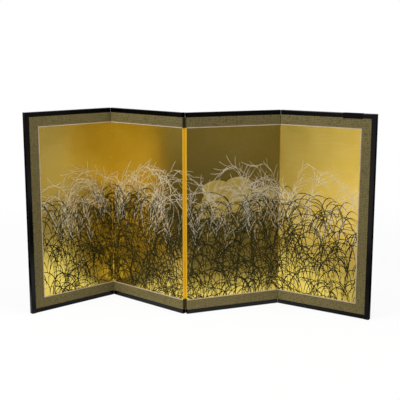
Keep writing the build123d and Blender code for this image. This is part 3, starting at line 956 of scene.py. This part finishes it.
def bend_shoots(tree, roots):
    """An upright line from each root, bent into an arch that leans and bows over."""
    line = add(tree, "GeometryNodeCurvePrimitiveLine", {"Start": (0, 0, 0), "End": (0, 0, 1)}).outputs[0]
    shoot = add(tree, "GeometryNodeResampleCurve", {"Curve": line, "Count": branch_points}).outputs[0]
    shoots = add(tree, "GeometryNodeInstanceOnPoints", {"Points": roots, "Instance": shoot}).outputs[0]
    shoots = add(tree, "GeometryNodeRealizeInstances", {"Geometry": shoots}).outputs[0]
    shoots = remember(tree, shoots, "grown", add(tree, "GeometryNodeSplineParameter").outputs["Factor"])
    grown = recall(tree, "grown")
    fullness = calculate(tree, "ADD", recall(tree, "bow"), 1.0)
    rise = calculate(tree, "MULTIPLY", calculate(tree, "MULTIPLY", fullness, 2.0), grown)
    fall = calculate(tree, "POWER", calculate(tree, "MULTIPLY", fullness, grown), 2.0)
    climb = calculate(tree, "MULTIPLY", calculate(tree, "SUBTRACT", rise, fall), recall(tree, "reach"))
    drift = calculate(tree, "MULTIPLY", calculate(tree, "POWER", grown, 1.5), recall(tree, "lean"))
    across = calculate(tree, "ADD", recall(tree, "root"), drift)
    upward = calculate(tree, "ADD", recall(tree, "foot"), climb)
    return move_points(tree, shoots, x=across, z=upward, absolute=True)


branches_tree, chosen = new_tree("arching_branches", branch_inputs)
close_tree(branches_tree, bend_shoots(branches_tree, plant_roots(branches_tree, chosen)))
print("branch rule:", len(branches_tree.nodes), "nodes")

# %% [markdown]
# ## Brush strokes
#
# A stroke of thick paint is a ribbon with a low ridge. It is swept from a
# three-point profile whose middle point is lifted, and its width swells and
# tapers as the brush is pressed and raised. Stems, leaves and petals are all
# such strokes, so one function draws them.

# %% Draw a stroke along a curve
def stroke(tree, curve, width, ridge):
    """Ribbon facing the viewer along a flat curve, ridge metres high in the middle."""
    facing = {"Curve": curve, "Normal": (0, -1, 0)}
    curve = add(tree, "GeometryNodeSetCurveNormal", facing, mode="FREE").outputs[0]
    ends = {"Start": (0, -0.5, 0), "End": (0, 0.5, 0)}
    profile = add(tree, "GeometryNodeCurvePrimitiveLine", ends).outputs[0]
    profile = add(tree, "GeometryNodeResampleCurve", {"Curve": profile, "Count": 3}).outputs[0]
    from_end = add(tree, "GeometryNodeSplineParameter").outputs["Factor"]
    crown = calculate(tree, "SUBTRACT", 1.0, calculate(tree, "MULTIPLY", from_end, 2.0))
    crown = calculate(tree, "SUBTRACT", 1.0, calculate(tree, "ABSOLUTE", crown))
    profile = remember(tree, profile, "crown", crown)
    given = {"Curve": curve, "Profile Curve": profile, "Scale": width}
    ribbon = add(tree, "GeometryNodeCurveToMesh", given).outputs[0]
    return move_points(tree, ribbon, y=calculate(tree, "MULTIPLY", recall(tree, "crown"), -ridge))


def blade(tree, points, fullness, ridge):
    """A leaf or petal one metre long, to be scaled, pointed at both ends."""
    line = add(tree, "GeometryNodeCurvePrimitiveLine", {"Start": (0, 0, 0), "End": (1, 0, 0)}).outputs[0]
    line = add(tree, "GeometryNodeResampleCurve", {"Curve": line, "Count": points}).outputs[0]
    along = add(tree, "GeometryNodeSplineParameter").outputs["Factor"]
    forward = calculate(tree, "POWER", along, 0.8)
    swell = calculate(tree, "SINE", calculate(tree, "MULTIPLY", forward, math.pi))
    width = calculate(tree, "MULTIPLY", calculate(tree, "MAXIMUM", swell, 0.06), fullness)
    return stroke(tree, line, width, ridge)


def join(tree, pieces):
    """Several geometries as one, with every instance made real."""
    joined = tree.nodes.new("GeometryNodeJoinGeometry")
    for piece in pieces:
        tree.links.new(piece, joined.inputs[0])
    return add(tree, "GeometryNodeRealizeInstances", {"Geometry": joined.outputs[0]}).outputs[0]


def finish_tree(tree, pieces, material):
    given = {"Geometry": join(tree, pieces), "Material": material}
    close_tree(tree, add(tree, "GeometryNodeSetMaterial", given).outputs[0])


def grow_branches(tree, given):
    """The branch rule inside another tree, fed by the inputs of the same names."""
    group = tree.nodes.new("GeometryNodeGroup")
    group.node_tree = branches_tree
    for label in branch_inputs:
        tree.links.new(given[label], group.inputs[label])
    return group.outputs[0]


# %% Set small shapes along a branch
paint_lift = 0.04 * MM
layer_depth = 0.20 * MM


def lift_by_layer(tree, geometry):
    """Lifts each stroke off the gold by its own amount, so that crossings stay clean."""
    depth = calculate(tree, "MULTIPLY_ADD", recall(tree, "layer"), -layer_depth, -paint_lift)
    return move_points(tree, geometry, y=depth)


def set_along(tree, curve, shape, gap, length, seed, step, narrowest, widest):
    """Copies of a shape along a curve, turned off it to the left and right in turn."""
    spots = add(
        tree, "GeometryNodeCurveToPoints", {"Curve": curve, "Length": gap}, mode="LENGTH"
    ).outputs
    index = add(tree, "GeometryNodeInputIndex").outputs[0]
    side = calculate(tree, "MULTIPLY_ADD", calculate(tree, "MODULO", index, 2.0), 2.0, -1.0)
    spread = random_between(tree, math.radians(narrowest), math.radians(widest), seed, step)
    given_turn = {"Vector": spots["Tangent"], "Angle": calculate(tree, "MULTIPLY", side, spread)}
    pointing = add(tree, "ShaderNodeVectorRotate", given_turn, rotation_type="Y_AXIS").outputs[0]
    turn = add(tree, "FunctionNodeAlignRotationToVector", {"Vector": pointing}, axis="X", pivot_axis="Y")
    size = calculate(tree, "MULTIPLY", length, random_between(tree, 0.6, 1.2, seed, step + 1))
    return add(tree, "GeometryNodeInstanceOnPoints", {
        "Points": spots["Points"], "Instance": shape, "Rotation": turn.outputs[0], "Scale": size,
    }).outputs[0]


# %% Stems with leaves
stem_ridge = 0.12 * MM
leafless_part = 0.15


def make_foliage_tree():
    inputs = dict(branch_inputs)
    inputs["Stem width"] = ("Float", 0.002)
    inputs["Leaf length"] = ("Float", 0.018)
    inputs["Leaf gap"] = ("Float", 0.013)
    inputs["Tip"] = ("Float", 1.0)
    inputs["Material"] = ("Material", None)
    tree, given = new_tree("leafy_branches", inputs)
    whole = lift_by_layer(tree, grow_branches(tree, given))
    trimmed = add(tree, "GeometryNodeTrimCurve", {"Curve": whole}, mode="FACTOR")
    tree.links.new(given["Tip"], trimmed.inputs[3])
    branches = trimmed.outputs[0]
    swell = calculate(tree, "SINE", calculate(tree, "MULTIPLY_ADD", recall(tree, "grown"), 2.6, 0.45))
    pressed = calculate(tree, "MAXIMUM", swell, 0.2)
    stems = stroke(tree, branches, calculate(tree, "MULTIPLY", given["Stem width"], pressed), stem_ridge)
    upper = add(tree, "GeometryNodeTrimCurve", {"Curve": branches}, mode="FACTOR")
    upper.inputs[2].default_value = leafless_part
    leaf = blade(tree, 5, 0.22, 0.008)
    leaves = set_along(
        tree, upper.outputs[0], leaf, given["Leaf gap"], given["Leaf length"], given["Seed"], 10, 16, 42
    )
    finish_tree(tree, (stems, leaves), given["Material"])
    return tree


foliage_tree = make_foliage_tree()
print("foliage rule:", len(foliage_tree.nodes), "nodes")

# %% [markdown]
# ## Sprigs of blossom
#
# Bush clover flowers in short loose sprigs that stand off the drooping ends of
# its branches, with small blossoms in two ranks. One sprig is made once, one
# metre long, and set along the outer part of the tall branches at its real size.
# It has few faces, because there are hundreds of it.

# %% One sprig
sprig_points = 9
sprig_droop = 0.18
blossoms = 10
blossom_turn = math.radians(40)
blossom_size = 0.07


def make_sprig(tree):
    """A thin stalk with blossoms on both sides, one metre long."""
    line = add(tree, "GeometryNodeCurvePrimitiveLine", {"Start": (0, 0, 0), "End": (1, 0, 0)}).outputs[0]
    line = add(tree, "GeometryNodeResampleCurve", {"Curve": line, "Count": sprig_points}).outputs[0]
    along = add(tree, "GeometryNodeSplineParameter").outputs["Factor"]
    droop = calculate(tree, "MULTIPLY", calculate(tree, "POWER", along, 2.0), -sprig_droop)
    line = move_points(tree, line, z=droop)
    stalk = stroke(tree, line, 0.018, 0.003)
    spots = add(tree, "GeometryNodeCurveToPoints", {"Curve": line, "Count": blossoms}, mode="COUNT").outputs
    index = add(tree, "GeometryNodeInputIndex").outputs[0]
    side = calculate(tree, "MULTIPLY_ADD", calculate(tree, "MODULO", index, 2.0), 2.0, -1.0)
    aside = {"Y": calculate(tree, "MULTIPLY", side, blossom_turn)}
    turn = add(tree, "ShaderNodeCombineXYZ", aside).outputs[0]
    petals = add(tree, "GeometryNodeInstanceOnPoints", {
        "Points": move_points(tree, spots["Points"], y=-0.004), "Instance": blade(tree, 3, 0.32, 0.03),
        "Rotation": turn, "Scale": (blossom_size,) * 3,
    }).outputs[0]
    return join(tree, (stalk, petals))


# %% Sprigs on the branch ends
stalk_ridge = 0.10 * MM
blossom_lift = 0.02 * MM


def make_blossom_tree():
    inputs = dict(branch_inputs)
    inputs["Bare part"] = ("Float", 0.5)
    inputs["Sprig length"] = ("Float", 0.04)
    inputs["Sprig gap"] = ("Float", 0.02)
    inputs["Stalk width"] = ("Float", 0.0014)
    inputs["Material"] = ("Material", None)
    tree, given = new_tree("blossom_sprigs", inputs)
    branches = lift_by_layer(tree, grow_branches(tree, given))
    branches = move_points(tree, branches, y=-blossom_lift)
    trimmed = add(tree, "GeometryNodeTrimCurve", {"Curve": branches}, mode="FACTOR")
    tree.links.new(given["Bare part"], trimmed.inputs[2])
    ends = trimmed.outputs[0]
    stalks = stroke(tree, ends, given["Stalk width"], stalk_ridge)
    sprigs = set_along(
        tree, ends, make_sprig(tree), given["Sprig gap"], given["Sprig length"], given["Seed"], 20, 14, 38
    )
    finish_tree(tree, (stalks, sprigs), given["Material"])
    return tree


blossom_tree = make_blossom_tree()
print("blossom rule:", len(blossom_tree.nodes), "nodes")

# %% [markdown]
# ## Pigments
#
# The dark strokes are a thick green-black, a mineral green over ink. It thins
# here and there and lets some of the warm ground through. The blossom is ground
# shell white, tinted with a little yellow, and powdery. The cloud is gold dust in
# glue, duller than the leaf behind it.

# %% Three pigments
def make_pigment(name, thin, thick, roughness, metallic=0.0):
    material, tree, shader = new_material(name, roughness, metallic)
    place = own_place(tree)
    wash = noise(tree, place, 55.0, 4.0)
    grain = noise(tree, place, 1500.0, 2.0)
    colour = blend_colours(tree, stretch(tree, wash, 0.35, 0.65), thin, thick)
    tree.links.new(colour, shader.inputs["Base Color"])
    shader.inputs["Specular IOR Level"].default_value = 0.12
    raise_surface(tree, shader, grain, 0.00005, 0.5)
    return material


dark_green = make_pigment("green_black_pigment", (0.034, 0.030, 0.004, 1), (0.014, 0.013, 0.003, 1), 0.6)
shell_white = make_pigment("shell_white_pigment", (0.66, 0.58, 0.42, 1), (0.86, 0.78, 0.60, 1), 0.75)
gold_dust = make_pigment("gold_dust", (0.50, 0.35, 0.060, 1), (0.57, 0.41, 0.090, 1), 0.5, metallic=0.3)

# %% [markdown]
# ## Growing, cutting and mounting
#
# The whole garden is grown flat, at full width. A modifier input is set by its
# socket's identifier, since labels may repeat. The evaluated result is taken as
# a plain mesh, cut along the four openings and laid on each panel's gold.

# %% Grow a flat piece of painting
def grow(name, tree, **settings):
    shape = bpy.data.objects.new(name, bpy.data.meshes.new(name))
    bpy.context.scene.collection.objects.link(shape)
    modifier = shape.modifiers.new(name, "NODES")
    modifier.node_group = tree
    sockets = {item.name: item.identifier for item in tree.interface.items_tree if item.in_out == "INPUT"}
    for label, value in settings.items():
        modifier[sockets[label.replace("_", " ").capitalize()]] = value
    ready = shape.evaluated_get(bpy.context.evaluated_depsgraph_get())
    flat = bpy.data.meshes.new_from_object(ready)
    bpy.data.objects.remove(shape)
    print(f"{name}: {len(flat.polygons)} faces, laid out flat")
    return flat


# %% Cut the painting and lay it on the panels
def cut_to_opening(flat, number):
    """The part of a flat painting that falls in one opening, facing forward."""
    opening = openings[number]
    start = painting_start[number]
    end = start + opening["right"] - opening["left"]
    sheet = bmesh.new()
    sheet.from_mesh(flat)
    cuts = (
        ((start, 0, 0), (-1, 0, 0)), ((end, 0, 0), (1, 0, 0)),
        ((0, 0, opening["low"]), (0, 0, -1)), ((0, 0, opening["high"]), (0, 0, 1)),
    )
    for place, outward in cuts:
        everything = sheet.verts[:] + sheet.edges[:] + sheet.faces[:]
        bmesh.ops.bisect_plane(sheet, geom=everything, plane_co=place, plane_no=outward, clear_outer=True)
    turned_away = [face for face in sheet.faces if face.normal.y > 0]
    bmesh.ops.reverse_faces(sheet, faces=turned_away)
    return sheet


def mount(name, flat):
    for number in panels:
        opening = openings[number]
        sheet = cut_to_opening(flat, number)
        shift = Matrix.Translation((opening["left"] - painting_start[number], opening["face"], 0))
        bmesh.ops.transform(sheet, matrix=axes[number] @ shift, verts=sheet.verts)
        if not sheet.faces:
            sheet.free()
            continue
        mesh = bpy.data.meshes.new(f"{name}_{number}")
        sheet.to_mesh(mesh)
        sheet.free()
        for material in flat.materials:
            mesh.materials.append(material)
        piece = bpy.data.objects.new(f"{name}_{number}", mesh)
        bpy.context.scene.collection.objects.link(piece)
        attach(piece, f"panel_{number}")
        print(f"{piece.name}: {len(mesh.polygons)} faces")


# %% [markdown]
# ## A bank of gold cloud
#
# A cloud with a lobed edge is an old way to rest the eye in such a painting.
# Gold dust is sifted on in overlapping ovals, each a hair above the last. It
# goes on first, so the branches stand in front of it.

# %% Sift the cloud
cloud_lift = 0.010 * MM
lobe_step = 0.003 * MM
cloud_lobes = (  # middle along the painting, middle height, half width, half height
    (1.045, 0.520, 0.130, 0.056),
    (0.960, 0.478, 0.088, 0.044),
    (1.135, 0.486, 0.092, 0.046),
    (0.985, 0.566, 0.070, 0.042),
    (1.090, 0.580, 0.066, 0.038),
    (1.215, 0.530, 0.062, 0.034),
)
lobe_points = 40


def lay_cloud():
    flat = bmesh.new()
    for order, (x, z, half_width, half_height) in enumerate(cloud_lobes):
        depth = -cloud_lift - lobe_step * order
        turns = [2 * math.pi * step / lobe_points for step in range(lobe_points)]
        flat.faces.new([
            flat.verts.new((x + half_width * math.cos(turn), depth, z + half_height * math.sin(turn)))
            for turn in turns
        ])
    mesh = bpy.data.meshes.new("cloud")
    flat.to_mesh(mesh)
    flat.free()
    mesh.materials.append(gold_dust)
    return mesh


mount("cloud", lay_cloud())

# %% [markdown]
# ## Three layers of planting
#
# Short twigs fill the ground first, from the foot of the picture to its middle.
# Tall branches arch over them. The blossom grows by the same rule and from the
# same seed as the tall branches, so each sprig stands on a branch that is there.

# %% Paint the garden
garden = {"span": painting_width, "ground": -0.02, "swell": 0.74, "swell_start": 0.55}
twigs = grow(
    "clover_twigs", foliage_tree, **garden, footing=0.47, clumps=1120, shoots=1, lowest=0.095, highest=0.130,
    gather=0.20, shortest=0.6, lean=1.7, bow=0.68, seed=3,
    stem_width=0.0038, leaf_length=0.009, leaf_gap=0.080, material=dark_green,
)
mount("clover_twigs", twigs)
tall = {
    "clumps": 21, "shoots": 4, "lowest": 0.61, "highest": 0.71, "shortest": 0.82,
    "lean": 0.50, "bow": 0.40, "seed": 6,
}
branches = grow(
    "clover_branches", foliage_tree, **garden, **tall,
    stem_width=0.0028, leaf_length=0.014, leaf_gap=0.024, tip=0.6, material=dark_green,
)
mount("clover_branches", branches)
sprigs = grow(
    "clover_blossom", blossom_tree, **garden, **tall, bare_part=0.52,
    sprig_length=0.052, sprig_gap=0.027, stalk_width=0.0010, material=shell_white,
)
mount("clover_blossom", sprigs)
